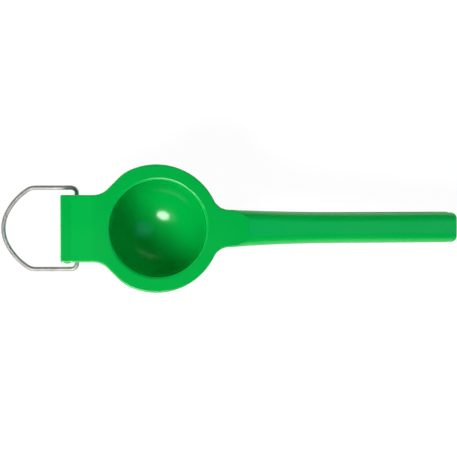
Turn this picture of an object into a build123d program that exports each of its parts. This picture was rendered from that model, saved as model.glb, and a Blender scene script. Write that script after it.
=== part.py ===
from build123d import *

import math
import os

# Sizes are in millimetres. X runs from the hinge towards the handles' ends, Y across, Z up.
# The origin is the middle of the cup's flat foot.

# Presser dome and the flange round it, on the upper lever
dome_radius = 25.0
dome_wall = 2.2
dome_collar = 2.0
dome_edge_round = 1.4
flange_overhang = 1.5
flange_shift = 0.8
flange_thickness = 2.6
flange_edge_round = 0.8

# Strainer cup, on the lower lever
cup_clearance = 1.2
cup_wall = 2.4
cup_collar = 1.55
foot_radius = 9.0
rim_gap = 0.4
rim_lip = 0.8
rim_height = 2.6
rim_round = 0.7
hole_diameter = 4.2
hole_ring_pitch = 6.4
hole_rings = 2
holes_in_first_ring = 6

# Hinge pin
pin_behind_flange = 14.1
pin_diameter = 3.5
pin_head_overhang = 0.5
pin_head_height = 0.9
pin_seat_clearance = 0.02
pin_running_clearance = 0.06

# Hinge saddle of the upper lever
saddle_width = 34.8
cheek_thickness = 3.15
cheek_wall = 1.45
cheek_root_round = 1.5
roof_thickness = 2.5
saddle_drop = 1.7
saddle_end_round = 1.0
slope_past_pin = 2.4
slope_before_shoulder = 4.7
slope_foot_round = 8.0
slope_brow_round = 30.0
shoulder_inset = 0.9
shoulder_fillet = 10.3
shoulder_corner = 20.0

# Hinge knuckle and neck of the lower lever
knuckle_wall = 1.45
knuckle_side_gap = 0.3
neck_top_drop = 1.5
neck_root_inset = 6.4
neck_root_depth = 14.6
neck_edge_round = 0.8

# Handles
crease_past_flange = 14.0
handle_length = 108.9
taper_length = 47.9
root_inset = 1.4
root_width = 20.7
root_fillet = 8.5
grip_width = 15.5
handle_depth = 8.2
handle_gap = 1.5
handle_wall = 2.3
handle_end_corner = 2.9
handle_rim_round = 0.3
lower_handle_short = 2.0
lower_root_inset = 0.25
lower_grip_outset = 0.3
skirt_past_flange = 1.1
skirt_round = 3.0
underside_round = 6.0
channel_past_flange = 14.2
channel_round = 1.5
crown_radius_start = 1.4
crown_radius = 5.2
crown_fall = 0.75
crown_margin = 0.1
keel_round = 2.5

# Hanging ring
wire_diameter = 2.4
ring_past_knuckle = 1.5
ring_below_pin = 3.0
ring_length = 38.2
ring_side_gap = 2.55
ring_end_bend = 2.9
ring_corner_radius = 7.0
ring_apex_radius = 18.0
ring_apex_angle = 27.0
ring_flank_angle = 30.0
ring_socket_depth = 4.0
ring_socket_wall = 1.7
ring_clearance = 0.1

# Radii from the dome outwards, and heights of the closed stack of cup and dome
dome_outer_radius = dome_radius + dome_wall
cup_radius = dome_outer_radius + cup_clearance
cup_outer_radius = cup_radius + cup_wall
rim_radius = cup_outer_radius + rim_lip
flange_radius = rim_radius + flange_overhang
cup_centre_z = math.sqrt(cup_outer_radius**2 - foot_radius**2)
rim_under_z = cup_centre_z + cup_collar
rim_z = rim_under_z + rim_height
flange_under_z = rim_z + rim_gap
top_z = flange_under_z + flange_thickness
dome_centre_z = top_z - dome_collar

# Hinge positions
pin_x = -(flange_radius + pin_behind_flange)
cheek_radius = pin_diameter / 2 + cheek_wall
knuckle_radius = pin_diameter / 2 + knuckle_wall
saddle_top_z = top_z - saddle_drop
saddle_end_x = pin_x - cheek_radius
saddle_inner_width = saddle_width - 2 * cheek_thickness
neck_width = saddle_inner_width - 2 * knuckle_side_gap
roof_z = saddle_top_z - roof_thickness
pin_z = roof_z - rim_gap - knuckle_radius
roof_end_x = -(cup_radius + cup_wall / 2)
ring_x = pin_x + knuckle_radius + ring_past_knuckle
ring_z = pin_z - ring_below_pin

# Handle positions
root_x = cup_radius - root_inset
skirt_x = flange_radius + skirt_past_flange
channel_start_x = flange_radius + channel_past_flange
crease_x = flange_radius + crease_past_flange
grip_x = crease_x + taper_length
handle_end_x = crease_x + handle_length
lower_end_x = handle_end_x - lower_handle_short

# Both handles slope so that the lower one's end comes down to the level of the cup's foot
stack_depth = 2 * handle_depth + handle_gap
lower_run = lower_end_x - crease_x
lower_slant = math.sqrt(lower_run**2 + top_z**2 - stack_depth**2)
slope = math.atan2(top_z, lower_run) - math.atan2(stack_depth, lower_slant)

# The handles' sections run from behind their roots to past their ends
section_start = root_x - crease_x - handle_depth
section_end = handle_length + handle_depth


def handle_point(along, above):
    x = crease_x + along * math.cos(slope) + above * math.sin(slope)
    z = top_z - along * math.sin(slope) + above * math.cos(slope)
    return (x, z)


def handle_plane(along):
    x, z = handle_point(along, 0)
    return Plane((x, 0, z), x_dir=(0, 1, 0), z_dir=(math.cos(slope), 0, -math.sin(slope)))


def half_width(x, root, grip):
    bend = ((grip_x - root_x) ** 2 + (root - grip) ** 2) / (2 * (root - grip))
    return grip + bend - math.sqrt(bend**2 - (grip_x - min(x, grip_x)) ** 2)


def handle_plan(root, grip, end_corner, start_x, end_x):
    with BuildSketch() as plan:
        with BuildLine():
            TangentArc((grip_x, grip), (root_x, root), tangent=(-1, 0))
            TangentArc((grip_x, -grip), (root_x, -root), tangent=(-1, 0))
            Line((root_x, root), (root_x, -root))
            Polyline((grip_x, grip), (end_x, grip), (end_x, -grip), (grip_x, -grip))
        make_face()
        fillet(plan.vertices().group_by(Axis.X)[-1], end_corner)
        with Locations((start_x, 0)):
            Rectangle(
                end_x - start_x, 2 * root_width, align=(Align.MIN, Align.CENTER), mode=Mode.INTERSECT
            )
    return plan.sketch


def crown_section(along, edge, radius):
    flat = edge - radius * math.sqrt(1 - (1 - crown_fall) ** 2)
    drop = radius * crown_fall
    brim = 2 * flange_radius
    with BuildSketch(handle_plane(along)) as section:
        with BuildLine():
            Line((-flat, 0), (flat, 0))
            TangentArc((flat, 0), (edge, -drop), tangent=(1, 0))
            Polyline(
                (edge, -drop),
                (brim, -drop),
                (brim, -3 * stack_depth),
                (-brim, -3 * stack_depth),
                (-brim, -drop),
                (-edge, -drop),
            )
            TangentArc((-flat, 0), (-edge, -drop), tangent=(-1, 0))
        make_face()
    return section.sketch


def level_plane(above):
    x, z = handle_point(0, above)
    return Plane((x, 0, z), x_dir=(0, 1, 0), z_dir=(math.sin(slope), 0, math.cos(slope)))


def runs_across(normal):
    return abs(normal.Y) < 0.01


def is_side(normal):
    return abs(normal.Z) < 0.01 and abs(normal.X) < 0.99


def faces_up(normal):
    return normal.Z > 0.3


def faces_down(normal):
    return normal.Z < -0.3


def edges_between(lever, first, second, start_x, end_x):
    faces = lever.faces()
    first_faces = ShapeList(face for face in faces if first(face.normal_at(face.center())))
    second_faces = ShapeList(face for face in faces if second(face.normal_at(face.center())))
    borders = second_faces.edges()
    shared = [edge for edge in first_faces.edges() if edge in borders]
    return [edge for edge in shared if start_x < edge.center().X < end_x]


def channel_mouth(lever, way):
    opened = [face for face in lever.faces() if face.inner_wires() and way(face.normal_at(face.center()))]
    return ShapeList(opened).sort_by(Axis.X)[-1].inner_wires()[0]


# Outlines of both handles and of the hollows inside them
root_edge = root_width / 2
grip_edge = grip_width / 2
lower_root_edge = root_edge - lower_root_inset
lower_grip_edge = grip_edge + lower_grip_outset
hollow_corner = handle_end_corner - handle_wall / 2
upper_handle_plan = handle_plan(root_edge, grip_edge, handle_end_corner, root_x, handle_end_x)
upper_hollow_plan = handle_plan(
    root_edge - handle_wall,
    grip_edge - handle_wall,
    hollow_corner,
    channel_start_x,
    handle_end_x - handle_wall,
)
lower_handle_plan = handle_plan(
    lower_root_edge, lower_grip_edge, handle_end_corner, root_x, lower_end_x
)
lower_hollow_plan = handle_plan(
    lower_root_edge - handle_wall,
    lower_grip_edge - handle_wall,
    hollow_corner,
    channel_start_x,
    lower_end_x - handle_wall,
)

# Sections of the upper handle's rounded back: its start by the flange, the crease, then along the handle
crown_start = (flange_radius - crease_x) / math.cos(slope)
crown_places = [0, taper_length / 2, taper_length, section_end]


def crown_edge(along):
    return half_width(crease_x + along * math.cos(slope), root_edge, grip_edge) + crown_margin


crown_first = crown_section(crown_start, crown_edge(crown_start), crown_radius_start)
crown_sections = [crown_section(along, crown_edge(along), crown_radius) for along in crown_places]

# Rounded back of the upper handle, and the hollow inside it
with BuildPart() as upper_crown:
    loft([crown_first, crown_sections[0]])
    loft(crown_sections)
    with Locations((flange_radius, 0, top_z)):
        Box(4 * flange_radius, 4 * flange_radius, 4 * top_z, align=(Align.MAX, Align.CENTER, Align.CENTER))

with BuildPart() as upper_channel:
    extrude(upper_hollow_plan, amount=2 * top_z, both=True)
    split(bisect_by=level_plane(-handle_wall), keep=Keep.BOTTOM)
    fillet(upper_channel.faces().sort_by(Axis.Z)[-1].edges(), channel_round)

# Upper lever: the saddle's slanted shoulders meet the flange's circle a little inside it
shoulder_reach = flange_radius - shoulder_inset
shoulder_x = saddle_width / 2 - shoulder_reach * math.sqrt(2) - flange_shift
corner_angle = math.radians(135) - math.acos(shoulder_reach / flange_radius)
corner_x = flange_radius * math.cos(corner_angle) - flange_shift
corner_y = flange_radius * math.sin(corner_angle)
root_corner_x = math.sqrt(flange_radius**2 - (root_width / 2) ** 2) - flange_shift

with BuildSketch() as upper_plan:
    with Locations((-flange_shift, 0)):
        Circle(flange_radius)
    with Locations((corner_x, 0)):
        Rectangle(
            2 * flange_radius, 2 * flange_radius, align=(Align.MAX, Align.CENTER), mode=Mode.SUBTRACT
        )
    with BuildLine():
        Polyline(
            (corner_x, corner_y),
            (shoulder_x, saddle_width / 2),
            (saddle_end_x, saddle_width / 2),
            (saddle_end_x, -saddle_width / 2),
            (shoulder_x, -saddle_width / 2),
            (corner_x, -corner_y),
            close=True,
        )
    make_face()
    add(upper_handle_plan)
    for way in (1, -1):
        inner_corner = upper_plan.vertices().sort_by_distance((shoulder_x, way * saddle_width / 2))[0]
        fillet(inner_corner, shoulder_fillet)
        outer_corner = upper_plan.vertices().sort_by_distance((corner_x, way * corner_y))[0]
        fillet(outer_corner, shoulder_corner)
        root_corner = upper_plan.vertices().sort_by_distance((root_corner_x, way * root_width / 2))[0]
        fillet(root_corner, root_fillet)

cheek_x = pin_x + cheek_radius
roof_rise = (flange_under_z - roof_z) / (roof_end_x - pin_x)

with BuildSketch(Plane.XZ) as upper_side:
    with BuildLine():
        FilletPolyline(
            (saddle_end_x, pin_z),
            (saddle_end_x, saddle_top_z),
            (pin_x + slope_past_pin, saddle_top_z),
            (shoulder_x - slope_before_shoulder, top_z),
            (handle_end_x + handle_depth, top_z),
            handle_point(section_end, -handle_depth),
            handle_point(0, -handle_depth),
            (skirt_x, flange_under_z),
            (roof_end_x, flange_under_z),
            (cheek_x, roof_z + roof_rise * cheek_radius),
            (cheek_x, pin_z),
            radius=(
                0,
                saddle_end_round,
                slope_foot_round,
                slope_brow_round,
                0,
                0,
                underside_round,
                skirt_round,
                0,
                cheek_root_round,
                0,
            ),
            close=True,
        )
    make_face()
    with Locations((pin_x, pin_z)):
        Circle(cheek_radius)

with BuildSketch(Plane.XZ) as saddle_gap:
    with BuildLine():
        Polyline(
            (saddle_end_x - cheek_wall, pin_z - 2 * cheek_radius),
            (saddle_end_x - cheek_wall, roof_z),
            (pin_x, roof_z),
            (roof_end_x, flange_under_z),
            (roof_end_x, pin_z - 2 * cheek_radius),
            close=True,
        )
    make_face()

with BuildSketch(Plane.XZ) as dome_outside:
    with BuildLine():
        CenterArc((0, dome_centre_z), dome_outer_radius, -90, 90)
        Polyline(
            (dome_outer_radius, dome_centre_z),
            (dome_outer_radius, top_z - flange_thickness / 4),
            (0, top_z - flange_thickness / 4),
            (0, dome_centre_z - dome_outer_radius),
        )
    make_face()

with BuildSketch(Plane.XZ) as dome_hollow:
    with BuildLine():
        CenterArc((0, dome_centre_z), dome_radius, -90, 90)
        Line((dome_radius, dome_centre_z), (dome_radius, top_z - dome_edge_round))
        CenterArc((dome_radius + dome_edge_round, top_z - dome_edge_round), dome_edge_round, 180, -90)
        Polyline(
            (dome_radius + dome_edge_round, top_z),
            (dome_radius + dome_edge_round, top_z + dome_collar),
            (0, top_z + dome_collar),
            (0, dome_centre_z - dome_radius),
        )
    make_face()

with BuildPart() as upper_lever:
    extrude(upper_plan.sketch, amount=2 * top_z)
    extrude(upper_side.sketch, amount=2 * flange_radius, both=True, mode=Mode.INTERSECT)
    add(upper_crown.part, mode=Mode.INTERSECT)
    flange_end_x = root_corner_x + root_fillet / 4
    past_saddle_x = saddle_end_x - cheek_radius
    fillet(
        edges_between(upper_lever, runs_across, is_side, past_saddle_x, flange_end_x), flange_edge_round
    )
    revolve(dome_outside.sketch, axis=Axis.Z)
    revolve(dome_hollow.sketch, axis=Axis.Z, mode=Mode.SUBTRACT)
    add(upper_channel.part, mode=Mode.SUBTRACT)
    fillet(channel_mouth(upper_lever, faces_down).edges(), handle_rim_round)
    extrude(saddle_gap.sketch, amount=saddle_inner_width / 2, both=True, mode=Mode.SUBTRACT)
    with Locations(Location((pin_x, 0, pin_z), (90, 0, 0))):
        Cylinder(pin_diameter / 2 + pin_seat_clearance, 2 * saddle_width, mode=Mode.SUBTRACT)

# Lower lever
with BuildPart() as lower_channel:
    extrude(lower_hollow_plan, amount=2 * top_z, both=True)
    split(bisect_by=level_plane(handle_wall - stack_depth), keep=Keep.TOP)
    fillet(lower_channel.faces().sort_by(Axis.Z)[0].edges(), channel_round)

with BuildSketch(Plane.XZ) as lower_side:
    with BuildLine():
        Polyline(
            handle_point(section_start, -handle_depth - handle_gap),
            handle_point(section_end, -handle_depth - handle_gap),
            handle_point(section_end, -stack_depth),
            handle_point(section_start, -stack_depth),
            close=True,
        )
    make_face()

with BuildPart() as lower_handle:
    extrude(lower_handle_plan, amount=2 * top_z, both=True)
    extrude(lower_side.sketch, amount=root_width, both=True, mode=Mode.INTERSECT)
    underside = [face for face in lower_handle.faces() if faces_down(face.normal_at(face.center()))]
    fillet(ShapeList(underside).edges().sort_by(Axis.X)[1:], keel_round)

foot_angle = math.degrees(math.acos(foot_radius / cup_outer_radius))

with BuildSketch(Plane.XZ) as cup_outside:
    with BuildLine():
        CenterArc((0, cup_centre_z), cup_outer_radius, -foot_angle, foot_angle)
        FilletPolyline(
            (cup_outer_radius, cup_centre_z),
            (cup_outer_radius, rim_under_z),
            (rim_radius, rim_under_z + rim_lip),
            (rim_radius, rim_z),
            (0, rim_z),
            radius=(rim_round, rim_round, rim_round),
        )
        Polyline((0, rim_z), (0, 0), (foot_radius, 0))
    make_face()

floor_radius = math.sqrt(cup_radius**2 - (cup_centre_z - cup_wall) ** 2)
floor_angle = math.degrees(math.acos(floor_radius / cup_radius))

with BuildSketch(Plane.XZ) as cup_hollow:
    with BuildLine():
        CenterArc((0, cup_centre_z), cup_radius, -floor_angle, floor_angle)
        Polyline(
            (cup_radius, cup_centre_z),
            (cup_radius, top_z),
            (0, top_z),
            (0, cup_wall),
            (floor_radius, cup_wall),
        )
    make_face()

neck_root_x = -(cup_radius - neck_root_inset)

with BuildSketch(Plane.XZ) as neck_side:
    with Locations((pin_x, pin_z)):
        Circle(knuckle_radius)
    with Locations((ring_x, ring_z)):
        Circle(wire_diameter / 2 + ring_clearance + ring_socket_wall)
    with BuildLine():
        Polyline(
            (roof_end_x, rim_z - neck_top_drop),
            (neck_root_x, rim_z - neck_top_drop),
            (neck_root_x, rim_z - neck_root_depth),
        )
    make_hull()

with BuildPart() as neck:
    extrude(neck_side.sketch, amount=neck_width / 2, both=True)
    fillet(neck.faces().filter_by(Axis.Y).edges(), neck_edge_round)

with BuildPart() as lower_lever:
    revolve(cup_outside.sketch, axis=Axis.Z)
    add(neck.part)
    add(lower_handle.part)
    revolve(cup_hollow.sketch, axis=Axis.Z, mode=Mode.SUBTRACT)
    add(lower_channel.part, mode=Mode.SUBTRACT)
    fillet(channel_mouth(lower_lever, faces_up).edges(), handle_rim_round)
    with BuildSketch():
        for ring in range(1, hole_rings + 1):
            with PolarLocations(ring * hole_ring_pitch, ring * holes_in_first_ring):
                Circle(hole_diameter / 2)
    extrude(amount=cup_centre_z, mode=Mode.SUBTRACT)
    with Locations(Location((pin_x, 0, pin_z), (90, 0, 0))):
        Cylinder(pin_diameter / 2 + pin_running_clearance, 2 * saddle_width, mode=Mode.SUBTRACT)
    with BuildSketch(Plane.XZ) as socket:
        with Locations((ring_x, ring_z)):
            Circle(wire_diameter / 2 + ring_clearance)
    for way in (1, -1):
        extrude(
            Plane.XZ.offset(way * (neck_width / 2 - ring_socket_depth)) * socket.sketch_local,
            amount=way * 2 * ring_socket_depth,
            mode=Mode.SUBTRACT,
        )

# Hinge pin: a shank with a low domed head on one side
pin_head_radius = pin_diameter / 2 + pin_head_overhang
head_sphere_radius = (pin_head_radius**2 + pin_head_height**2) / (2 * pin_head_height)

with BuildSketch(Plane.XY) as pin_profile:
    with BuildLine():
        Polyline(
            (0, -saddle_width / 2 - pin_head_height),
            (0, saddle_width / 2),
            (pin_diameter / 2, saddle_width / 2),
            (pin_diameter / 2, -saddle_width / 2),
            (pin_head_radius, -saddle_width / 2),
        )
        RadiusArc(
            (pin_head_radius, -saddle_width / 2),
            (0, -saddle_width / 2 - pin_head_height),
            head_sphere_radius,
        )
    make_face()

with BuildPart() as hinge_pin:
    add(Location((pin_x, 0, pin_z)) * revolve(pin_profile.sketch, axis=Axis.Y, mode=Mode.PRIVATE))

# Hanging ring: round wire bent to a pointed loop, with its ends turned in to the neck's sockets
ring_width = saddle_width + 2 * ring_side_gap + wire_diameter
apex_angle = math.radians(ring_apex_angle)
flank_end_angle = math.radians(ring_apex_angle + ring_flank_angle)
corner_turn = 90 - ring_apex_angle - ring_flank_angle
flank_radius = (
    ring_width / 2
    - ring_apex_radius * math.sin(apex_angle)
    - ring_corner_radius * (1 - math.sin(flank_end_angle))
) / (math.sin(flank_end_angle) - math.sin(apex_angle))

with BuildLine(Plane.XY.offset(ring_z)) as ring_path:
    apex = JernArc((ring_x - ring_length, 0), (0, 1), ring_apex_radius, -ring_apex_angle)
    flank = JernArc(apex @ 1, apex % 1, flank_radius, -ring_flank_angle)
    corner = JernArc(flank @ 1, flank % 1, ring_corner_radius, -corner_turn)
    arm = Line(corner @ 1, (ring_x - ring_end_bend, ring_width / 2))
    end_bend = JernArc(arm @ 1, (1, 0), ring_end_bend, -90)
    Line(end_bend @ 1, (ring_x, neck_width / 2 - ring_socket_depth + ring_clearance))
    mirror(about=Plane.XZ)

with BuildPart() as hanging_ring:
    with BuildSketch(Plane(ring_path.wire() @ 0, z_dir=ring_path.wire() % 0)):
        Circle(wire_diameter / 2)
    sweep(path=ring_path.wire())

os.makedirs("parts", exist_ok=True)
upper_lever.part.label = "upper_lever"
lower_lever.part.label = "lower_lever"
hinge_pin.part.label = "hinge_pin"
hanging_ring.part.label = "hanging_ring"
export_step(upper_lever.part, "parts/upper_lever.step")
export_step(lower_lever.part, "parts/lower_lever.step")
export_step(hinge_pin.part, "parts/hinge_pin.step")
export_step(hanging_ring.part, "parts/hanging_ring.step")
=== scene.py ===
import math

import bmesh
import bpy
from mathutils import Matrix, Vector


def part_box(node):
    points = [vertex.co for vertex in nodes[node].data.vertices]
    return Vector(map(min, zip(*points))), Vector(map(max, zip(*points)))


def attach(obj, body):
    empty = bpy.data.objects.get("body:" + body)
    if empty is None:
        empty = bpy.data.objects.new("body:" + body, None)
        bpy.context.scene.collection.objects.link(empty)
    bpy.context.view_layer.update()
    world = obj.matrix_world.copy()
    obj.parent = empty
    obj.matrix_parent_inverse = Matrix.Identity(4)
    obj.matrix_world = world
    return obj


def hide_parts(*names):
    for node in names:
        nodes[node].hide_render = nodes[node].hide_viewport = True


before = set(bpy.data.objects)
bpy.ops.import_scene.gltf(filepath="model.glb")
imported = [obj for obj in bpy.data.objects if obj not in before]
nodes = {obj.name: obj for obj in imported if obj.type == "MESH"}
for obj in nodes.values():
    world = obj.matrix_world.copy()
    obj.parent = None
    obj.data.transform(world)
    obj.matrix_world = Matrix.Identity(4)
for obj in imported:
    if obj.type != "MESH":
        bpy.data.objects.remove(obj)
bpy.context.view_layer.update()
scene = bpy.context.scene
scene.view_settings.view_transform = "Standard"
print("frame loaded:", sorted(nodes))


# camera: almost straight down, a little round towards the +Y side
cameraView = {
    "aim": (0.0364, 0.0, 0.0366),
    "distance": 1.0,
    "tilt": 1.3,           # degrees towards +Y
    "roll": 0.1,           # degrees, handle end up in the picture
    "frameWidth": 0.2351,  # metres across the picture at the aim point
    "sensor": 36.0,
    "farClip": 20.0,
}


def addCamera(view):
    tilt = math.radians(view["tilt"])
    camera = bpy.data.cameras.new("camera")
    camera.sensor_width = view["sensor"]
    camera.lens = view["sensor"] * view["distance"] / view["frameWidth"]
    camera.clip_end = view["farClip"]
    cameraObject = bpy.data.objects.new("camera", camera)
    offset = Vector((0.0, math.sin(tilt), math.cos(tilt))) * view["distance"]
    cameraObject.location = Vector(view["aim"]) + offset
    cameraObject.rotation_euler = (-tilt, 0.0, -math.radians(view["roll"]))
    scene.collection.objects.link(cameraObject)
    scene.camera = cameraObject


addCamera(cameraView)
print("camera placed")


# lamps: strength is the lamp's own brightness, where 1 is white
# a glint is oval and shows only in the gloss, a light is rectangular and only falls on the paint
lampAim = (0.0, 0.0, 0.03)
whiteTint = (1.0, 1.0, 1.0)
lampSetup = {
    "keyGlint": {
        "place": (-0.19, -0.54, 0.93),
        "size": (0.54, 0.38),
        "strength": 17.0,
        "tint": whiteTint,
        "gloss": True,
    },
    "keyLight": {
        "place": (-0.49, -0.47, 0.80),
        "size": (0.40, 0.40),
        "strength": 23.0,
        "tint": whiteTint,
        "gloss": False,
    },
    "sideGlint": {
        "place": (0.62, 0.03, 0.74),
        "size": (0.66, 0.92),
        "strength": 0.75,
        "tint": (0.03, 0.75, 1.0),
        "gloss": True,
    },
    "sideLight": {
        "place": (0.62, 0.05, 0.74),
        "size": (0.30, 0.50),
        "strength": 2.75,
        "tint": whiteTint,
        "gloss": False,
    },
}


def addLamp(name, lamp):
    light = bpy.data.lights.new(name, "AREA")
    light.shape = "ELLIPSE" if lamp["gloss"] else "RECTANGLE"
    light.size, light.size_y = lamp["size"]
    area = light.size * light.size_y * (math.pi / 4 if lamp["gloss"] else 1.0)
    light.energy = math.pi * area * lamp["strength"]
    light.color = lamp["tint"]
    lampObject = bpy.data.objects.new(name, light)
    lampObject.location = lamp["place"]
    way = Vector(lampAim) - lampObject.location
    lampObject.rotation_euler = way.to_track_quat("-Z", "Y").to_euler()
    lampObject.visible_glossy = lamp["gloss"]
    lampObject.visible_diffuse = not lamp["gloss"]
    scene.collection.objects.link(lampObject)


for name, lamp in lampSetup.items():
    addLamp(name, lamp)
print("lamps placed:", len(lampSetup))


def link(tree, fromNode, output, toNode, socket):
    tree.links.new(fromNode.outputs[output], toNode.inputs[socket])


def addMath(tree, operation, first=None, second=None):
    node = tree.nodes.new("ShaderNodeMath")
    node.operation = operation
    for socket, value in zip(node.inputs, (first, second)):
        if value is not None:
            socket.default_value = value
    return node


def addRange(tree, source, target, curve="LINEAR"):
    node = tree.nodes.new("ShaderNodeMapRange")
    node.interpolation_type = curve
    sockets = ("From Min", "From Max", "To Min", "To Max")
    for socket, value in zip(sockets, (*source, *target)):
        node.inputs[socket].default_value = value
    return node


def addNoise(tree, detail):
    noise = tree.nodes.new("ShaderNodeTexNoise")
    noise.inputs["Detail"].default_value = detail
    return noise


def addTint(tree, colour):
    tint = tree.nodes.new("ShaderNodeVectorMath")
    tint.operation = "SCALE"
    tint.inputs[0].default_value = colour
    return tint


# studio walls: a bright band round the horizon, plain white to the camera
# gloss shows it softer, and dim on the side away from the lamps
studio = {
    "light": 3.5,
    "lightFarSide": 0.65,     # share of the near side's level
    "mirror": 0.8,
    "mirrorFarSide": 0.05,
    "overhead": 0.02,         # share of the band's level
    "bandFade": (0.10, 0.38),
    "brightWay": (-0.75, -0.66, 0.0),
    "sideFade": (-0.6, 0.6),
    "backdrop": 1.0,
}


def buildStudio(settings):
    world = bpy.data.worlds.new("studio")
    scene.world = world
    world.use_nodes = True
    tree = world.node_tree
    background = tree.nodes["Background"]
    background.inputs["Color"].default_value = (*whiteTint, 1.0)
    place = tree.nodes.new("ShaderNodeTexCoord")
    rays = tree.nodes.new("ShaderNodeLightPath")

    split = tree.nodes.new("ShaderNodeSeparateXYZ")
    band = addRange(tree, settings["bandFade"], (1.0, settings["overhead"]), "SMOOTHSTEP")
    link(tree, place, "Generated", split, "Vector")
    link(tree, split, "Z", band, "Value")

    facing = tree.nodes.new("ShaderNodeVectorMath")
    facing.operation = "DOT_PRODUCT"
    facing.inputs[1].default_value = settings["brightWay"]
    link(tree, place, "Generated", facing, 0)
    level = tree.nodes.new("ShaderNodeMix")
    for kind, socket in (("light", "A"), ("mirror", "B")):
        farLevel = settings[kind] * settings[kind + "FarSide"]
        side = addRange(tree, settings["sideFade"], (farLevel, settings[kind]), "SMOOTHSTEP")
        link(tree, facing, "Value", side, "Value")
        link(tree, side, "Result", level, socket)
    link(tree, rays, "Is Glossy Ray", level, "Factor")

    wall = addMath(tree, "MULTIPLY")
    link(tree, band, "Result", wall, 0)
    link(tree, level, "Result", wall, 1)
    seen = tree.nodes.new("ShaderNodeMix")
    seen.inputs["B"].default_value = settings["backdrop"]
    link(tree, rays, "Is Camera Ray", seen, "Factor")
    link(tree, wall, "Value", seen, "A")
    link(tree, seen, "Result", background, "Strength")


buildStudio(studio)
print("studio walls built")


# floor: white to the eye and in reflections, with a share of plain paint that keeps a soft shadow
floorSetup = {
    "level": -0.0145,  # clear of the ring when it hangs straight down
    "reach": 6.0,
    "paint": (0.86, 0.86, 0.86, 1.0),
    "roughness": 0.9,
    "glow": 1.07,
    "glowShare": 0.87,
}


def floorPaint(settings):
    material = bpy.data.materials.new("floorPaint")
    material.use_nodes = True
    tree = material.node_tree
    paint = tree.nodes["Principled BSDF"]
    paint.inputs["Base Color"].default_value = settings["paint"]
    paint.inputs["Roughness"].default_value = settings["roughness"]
    glow = tree.nodes.new("ShaderNodeEmission")
    glow.inputs["Strength"].default_value = settings["glow"]
    rays = tree.nodes.new("ShaderNodeLightPath")
    seen = addMath(tree, "MAXIMUM")
    share = addMath(tree, "MULTIPLY", second=settings["glowShare"])
    blend = tree.nodes.new("ShaderNodeMixShader")
    link(tree, rays, "Is Camera Ray", seen, 0)
    link(tree, rays, "Is Glossy Ray", seen, 1)
    link(tree, seen, "Value", share, 0)
    link(tree, share, "Value", blend, "Fac")
    link(tree, paint, "BSDF", blend, 1)
    link(tree, glow, "Emission", blend, 2)
    link(tree, blend, "Shader", tree.nodes["Material Output"], "Surface")
    return material


def buildFloor(settings):
    mesh = bpy.data.meshes.new("floor")
    shape = bmesh.new()
    lowered = Matrix.Translation((0.0, 0.0, settings["level"]))
    bmesh.ops.create_grid(
        shape, x_segments=1, y_segments=1, size=settings["reach"], matrix=lowered
    )
    shape.to_mesh(mesh)
    shape.free()
    floor = bpy.data.objects.new("floor", mesh)
    scene.collection.objects.link(floor)
    mesh.materials.append(floorPaint(settings))


buildFloor(floorSetup)
print("floor laid")


# enamel as it flowed and set: slow tone drift, a faint orange peel, a few pinholes darkened with
# painted shade, rounded edges
flowSetup = {
    "inputs": {
        "Drift Scale": 30.0,
        "Drift": 0.05,
        "Peel Scale": 430.0,
        "Peel Height": 0.0000025,
        "Pinhole Scale": 210.0,
        "Roughness": 0.17,
        "Edge Radius": 0.0004,
    },
    "outputs": {
        "Shade": "NodeSocketFloat",
        "Roughness": "NodeSocketFloat",
        "Normal": "NodeSocketVector",
    },
    "driftDetail": 2.0,
    "driftMiddle": 0.5,
    "cloudiness": 0.16,            # how far the gloss follows the drift
    "peelDetail": 1.5,
    "pinholeFrom": 0.86,           # cells with a lower draw have none
    "pinholeEdge": (0.015, 0.05),  # share of a cell
    # share by which the pinholes' colour is darkened as painted shade in the pits, and their
    # gloss dulled
    "pinholeShadeAndDulling": 0.3,
    "edgeSamples": 6,
}


def startGroup(name, inputs, outputs):
    group = bpy.data.node_groups.new(name, "ShaderNodeTree")
    for label, value in inputs.items():
        socket = group.interface.new_socket(label, in_out="INPUT", socket_type="NodeSocketFloat")
        socket.default_value = value
    for label, kind in outputs.items():
        group.interface.new_socket(label, in_out="OUTPUT", socket_type=kind)
    return group, group.nodes.new("NodeGroupInput"), group.nodes.new("NodeGroupOutput")


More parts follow.
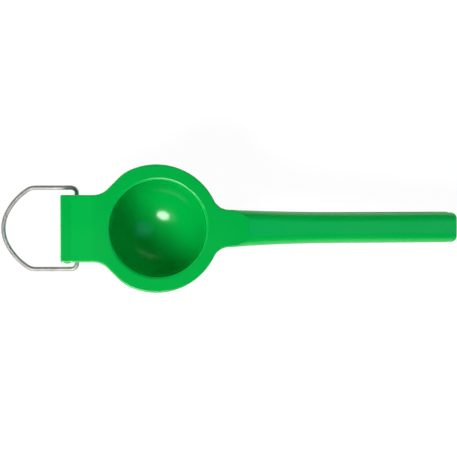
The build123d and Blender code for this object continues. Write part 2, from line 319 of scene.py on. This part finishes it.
def buildEnamelFlow(settings):
    tree, given, result = startGroup("enamelFlow", settings["inputs"], settings["outputs"])
    place = tree.nodes.new("ShaderNodeTexCoord")

    drift = addNoise(tree, settings["driftDetail"])
    link(tree, place, "Object", drift, "Vector")
    link(tree, given, "Drift Scale", drift, "Scale")
    swing = addMath(tree, "SUBTRACT", second=settings["driftMiddle"])
    spread = addMath(tree, "MULTIPLY")
    shade = addMath(tree, "ADD", first=1.0)
    link(tree, drift, "Fac", swing, 0)
    link(tree, swing, "Value", spread, 0)
    link(tree, given, "Drift", spread, 1)
    link(tree, spread, "Value", shade, 1)

    # pinholes: a few of the cells have a dot at their middle, darkened in colour as painted shade
    # in the pit
    cells = tree.nodes.new("ShaderNodeTexVoronoi")
    link(tree, place, "Object", cells, "Vector")
    link(tree, given, "Pinhole Scale", cells, "Scale")
    split = tree.nodes.new("ShaderNodeSeparateColor")
    link(tree, cells, "Color", split, "Color")
    chosen = addMath(tree, "GREATER_THAN", second=settings["pinholeFrom"])
    link(tree, split, "Red", chosen, 0)
    dot = addRange(tree, settings["pinholeEdge"], (1.0, 0.0), "SMOOTHSTEP")
    link(tree, cells, "Distance", dot, "Value")
    pinhole = addMath(tree, "MULTIPLY")
    link(tree, chosen, "Value", pinhole, 0)
    link(tree, dot, "Result", pinhole, 1)
    # painted shade: this darkens the pits' colour, and the same value also dulls their gloss
    pitShadeAndDulling = addMath(tree, "MULTIPLY", second=settings["pinholeShadeAndDulling"])
    link(tree, pinhole, "Value", pitShadeAndDulling, 0)
    toneAndPitShade = addMath(tree, "SUBTRACT")
    link(tree, shade, "Value", toneAndPitShade, 0)
    link(tree, pitShadeAndDulling, "Value", toneAndPitShade, 1)
    link(tree, toneAndPitShade, "Value", result, "Shade")

    # gloss follows the drift, and is lost in the pinholes
    cloudy = addMath(tree, "MULTIPLY", second=settings["cloudiness"])
    link(tree, swing, "Value", cloudy, 0)
    gloss = addMath(tree, "ADD")
    link(tree, given, "Roughness", gloss, 0)
    link(tree, cloudy, "Value", gloss, 1)
    dulled = addMath(tree, "ADD")
    link(tree, gloss, "Value", dulled, 0)
    link(tree, pitShadeAndDulling, "Value", dulled, 1)
    link(tree, dulled, "Value", result, "Roughness")

    # relief: the peel and the pinholes, over edges that the paint has rounded
    peel = addNoise(tree, settings["peelDetail"])
    link(tree, place, "Object", peel, "Vector")
    link(tree, given, "Peel Scale", peel, "Scale")
    pitted = addMath(tree, "SUBTRACT")
    link(tree, peel, "Fac", pitted, 0)
    link(tree, pinhole, "Value", pitted, 1)
    edge = tree.nodes.new("ShaderNodeBevel")
    edge.samples = settings["edgeSamples"]
    link(tree, given, "Edge Radius", edge, "Radius")
    bump = tree.nodes.new("ShaderNodeBump")
    link(tree, pitted, "Value", bump, "Height")
    link(tree, given, "Peel Height", bump, "Distance")
    link(tree, edge, "Normal", bump, "Normal")
    link(tree, bump, "Normal", result, "Normal")
    return tree


enamelFlow = buildEnamelFlow(flowSetup)

# gloss green enamel on the castings, and on the pin where it was brushed over the rivet
enamelSetup = {"green": (0.0, 0.400, 0.054), "flow": {}}
pinSetup = {
    "green": (0.0, 0.385, 0.057),
    "flow": {
        "Drift Scale": 120.0,
        "Drift": 0.12,
        "Peel Scale": 700.0,
        "Roughness": 0.22,
        "Edge Radius": 0.0002,
    },
}


def enamel(name, settings):
    material = bpy.data.materials.new(name)
    material.use_nodes = True
    tree = material.node_tree
    skin = tree.nodes["Principled BSDF"]
    flow = tree.nodes.new("ShaderNodeGroup")
    flow.node_tree = enamelFlow
    for socket, value in settings["flow"].items():
        flow.inputs[socket].default_value = value
    tint = addTint(tree, settings["green"])
    link(tree, flow, "Shade", tint, "Scale")
    link(tree, tint, "Vector", skin, "Base Color")
    link(tree, flow, "Roughness", skin, "Roughness")
    link(tree, flow, "Normal", skin, "Normal")
    return material


castEnamel = enamel("castEnamel", enamelSetup)
for name in ("upper_lever", "lower_lever"):
    nodes[name].material_slots[0].material = castEnamel
nodes["hinge_pin"].material_slots[0].material = enamel("pinEnamel", pinSetup)
print("enamel on the levers and the pin")


# hanging ring: round wire swept along the same arcs as the CAD ring, with a UV map
ringWire = {
    "endY": 0.01005,       # where the wire's ends stop in the neck's sockets
    "endBend": 0.0029,
    "cornerRadius": 0.007,
    "apexRadius": 0.018,
    "apexAngle": 27.0,     # degrees on each side of the apex
    "flankAngle": 30.0,
    "sides": 32,
    "stepLength": 0.0006,
}


def ringPath(wire, box):
    low, high = box
    thickness = high[2] - low[2]
    pivotX = high[0] - thickness / 2
    apexX = low[0] + thickness / 2
    halfWidth = high[1] - thickness / 2
    apexTurn = math.radians(wire["apexAngle"])
    flankTurn = math.radians(wire["flankAngle"])
    cornerTurn = math.pi / 2 - apexTurn - flankTurn
    flankEnd = cornerTurn + flankTurn
    flankWidth = halfWidth - wire["cornerRadius"] * (1 - math.cos(cornerTurn))
    flankWidth -= wire["apexRadius"] * math.cos(flankEnd)
    flankRadius = flankWidth / (math.cos(cornerTurn) - math.cos(flankEnd))
    reach = (
        wire["cornerRadius"] * math.sin(cornerTurn)
        + flankRadius * (math.sin(flankEnd) - math.sin(cornerTurn))
        + wire["apexRadius"] * (1 - math.sin(flankEnd))
    )
    bend = wire["endBend"]
    end = ("line", halfWidth - bend - wire["endY"], 0.0)
    arm = ("line", pivotX - bend - apexX - reach, 0.0)
    turnIn = ("arc", bend, math.pi / 2)
    corner = ("arc", wire["cornerRadius"], cornerTurn)
    flank = ("arc", flankRadius, flankTurn)
    apex = ("arc", wire["apexRadius"], 2 * apexTurn)
    steps = [end, turnIn, arm, corner, flank, apex, flank, corner, arm, turnIn, end]
    start = Vector((pivotX, wire["endY"], (low[2] + high[2]) / 2))
    return start, steps, thickness / 2


# UV in metres: U along the wire, V round it from the top, with the seam underneath
def unwrapRing(shape, stations, sides):
    shape.verts.index_update()
    layer = shape.loops.layers.uv.new("wire")
    for face in shape.faces:
        spots = []
        for corner in face.loops:
            distance, at, heading = stations[corner.vert.index // sides]
            offset = corner.vert.co - at
            left = Vector((-heading.y, heading.x, 0.0))
            angle = math.atan2(offset.dot(left), offset.z)
            spots.append((distance, angle, offset.length))
        angles = [angle for distance, angle, radius in spots]
        overSeam = max(angles) - min(angles) > math.pi
        for corner, (distance, angle, radius) in zip(face.loops, spots):
            if overSeam and angle < 0.0:
                angle += 2 * math.pi
            corner[layer].uv = (distance, angle * radius)


def sweepRing(wire):
    start, steps, radius = ringPath(wire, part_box("hanging_ring"))
    shape = bmesh.new()
    turned = Matrix.Translation(start) @ Matrix.Rotation(math.pi / 2, 4, "X")
    bmesh.ops.create_circle(shape, radius=radius, segments=wire["sides"], matrix=turned)
    loop = shape.verts[:] + shape.edges[:]
    at, heading, distance = start.copy(), Vector((0.0, 1.0, 0.0)), 0.0
    stations = [(distance, at, heading)]
    for kind, size, turn in steps:
        length = size if kind == "line" else size * turn
        count = max(1, round(length / wire["stepLength"]))
        left = Vector((-heading.y, heading.x, 0.0))
        middle = at + left * size if kind == "arc" else at
        way = heading * (length / count) if kind == "line" else Vector()
        swept = bmesh.ops.spin(
            shape, geom=loop, cent=middle, axis=(0, 0, 1), dvec=way, angle=turn, steps=count
        )
        loop = swept["geom_last"]
        small = Matrix.Rotation(turn / count, 3, "Z")
        for _ in range(count):
            at = middle + small @ (at - middle) + way
            middle = middle + way
            heading = small @ heading
            distance += length / count
            stations.append((distance, at, heading))
    openEdges = [edge for edge in shape.edges if edge.is_boundary]
    bmesh.ops.holes_fill(shape, edges=openEdges, sides=wire["sides"])
    bmesh.ops.recalc_face_normals(shape, faces=shape.faces[:])
    for face in shape.faces:
        face.smooth = len(face.verts) == 4  # the ends stay flat
    unwrapRing(shape, stations, wire["sides"])
    return shape


ringShape = sweepRing(ringWire)
ringMesh = bpy.data.meshes.new("wireRing")
ringShape.to_mesh(ringMesh)
ringShape.free()
wireRing = bpy.data.objects.new("wireRing", ringMesh)
scene.collection.objects.link(wireRing)

# drawn steel: fine lines along the wire, a slow change of tone from handling
wireSetup = {
    "steel": (0.60, 0.565, 0.54),
    "tone": 0.3,
    "toneScale": 170.0,
    "toneDetail": 3.0,
    "lineScale": (70.0, 3200.0, 1.0),
    "lineDetail": 2.0,
    "lineHeight": 0.000005,
    "roughness": (0.52, 0.70),
    "noiseSpan": (0.3, 0.7),
}


def satinWire(settings):
    material = bpy.data.materials.new("satinWire")
    material.use_nodes = True
    tree = material.node_tree
    skin = tree.nodes["Principled BSDF"]
    skin.inputs["Metallic"].default_value = 1.0
    place = tree.nodes.new("ShaderNodeUVMap")
    place.uv_map = "wire"

    stretch = tree.nodes.new("ShaderNodeVectorMath")
    stretch.operation = "MULTIPLY"
    stretch.inputs[1].default_value = settings["lineScale"]
    link(tree, place, "UV", stretch, 0)
    lines = addNoise(tree, settings["lineDetail"])
    lines.inputs["Scale"].default_value = 1.0
    link(tree, stretch, "Vector", lines, "Vector")
    bump = tree.nodes.new("ShaderNodeBump")
    bump.inputs["Distance"].default_value = settings["lineHeight"]
    link(tree, lines, "Fac", bump, "Height")
    link(tree, bump, "Normal", skin, "Normal")
    satin = addRange(tree, settings["noiseSpan"], settings["roughness"])
    link(tree, lines, "Fac", satin, "Value")
    link(tree, satin, "Result", skin, "Roughness")

    handled = addNoise(tree, settings["toneDetail"])
    handled.inputs["Scale"].default_value = settings["toneScale"]
    link(tree, place, "UV", handled, "Vector")
    toneSpan = (1.0 - settings["tone"] / 2, 1.0 + settings["tone"] / 2)
    tone = addRange(tree, settings["noiseSpan"], toneSpan)
    link(tree, handled, "Fac", tone, "Value")
    tint = addTint(tree, settings["steel"])
    link(tree, tone, "Result", tint, "Scale")
    link(tree, tint, "Vector", skin, "Base Color")
    return material


ringMesh.materials.append(satinWire(wireSetup))
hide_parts("hanging_ring")
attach(wireRing, "ring")
print("ring swept:", len(ringMesh.vertices), "points")
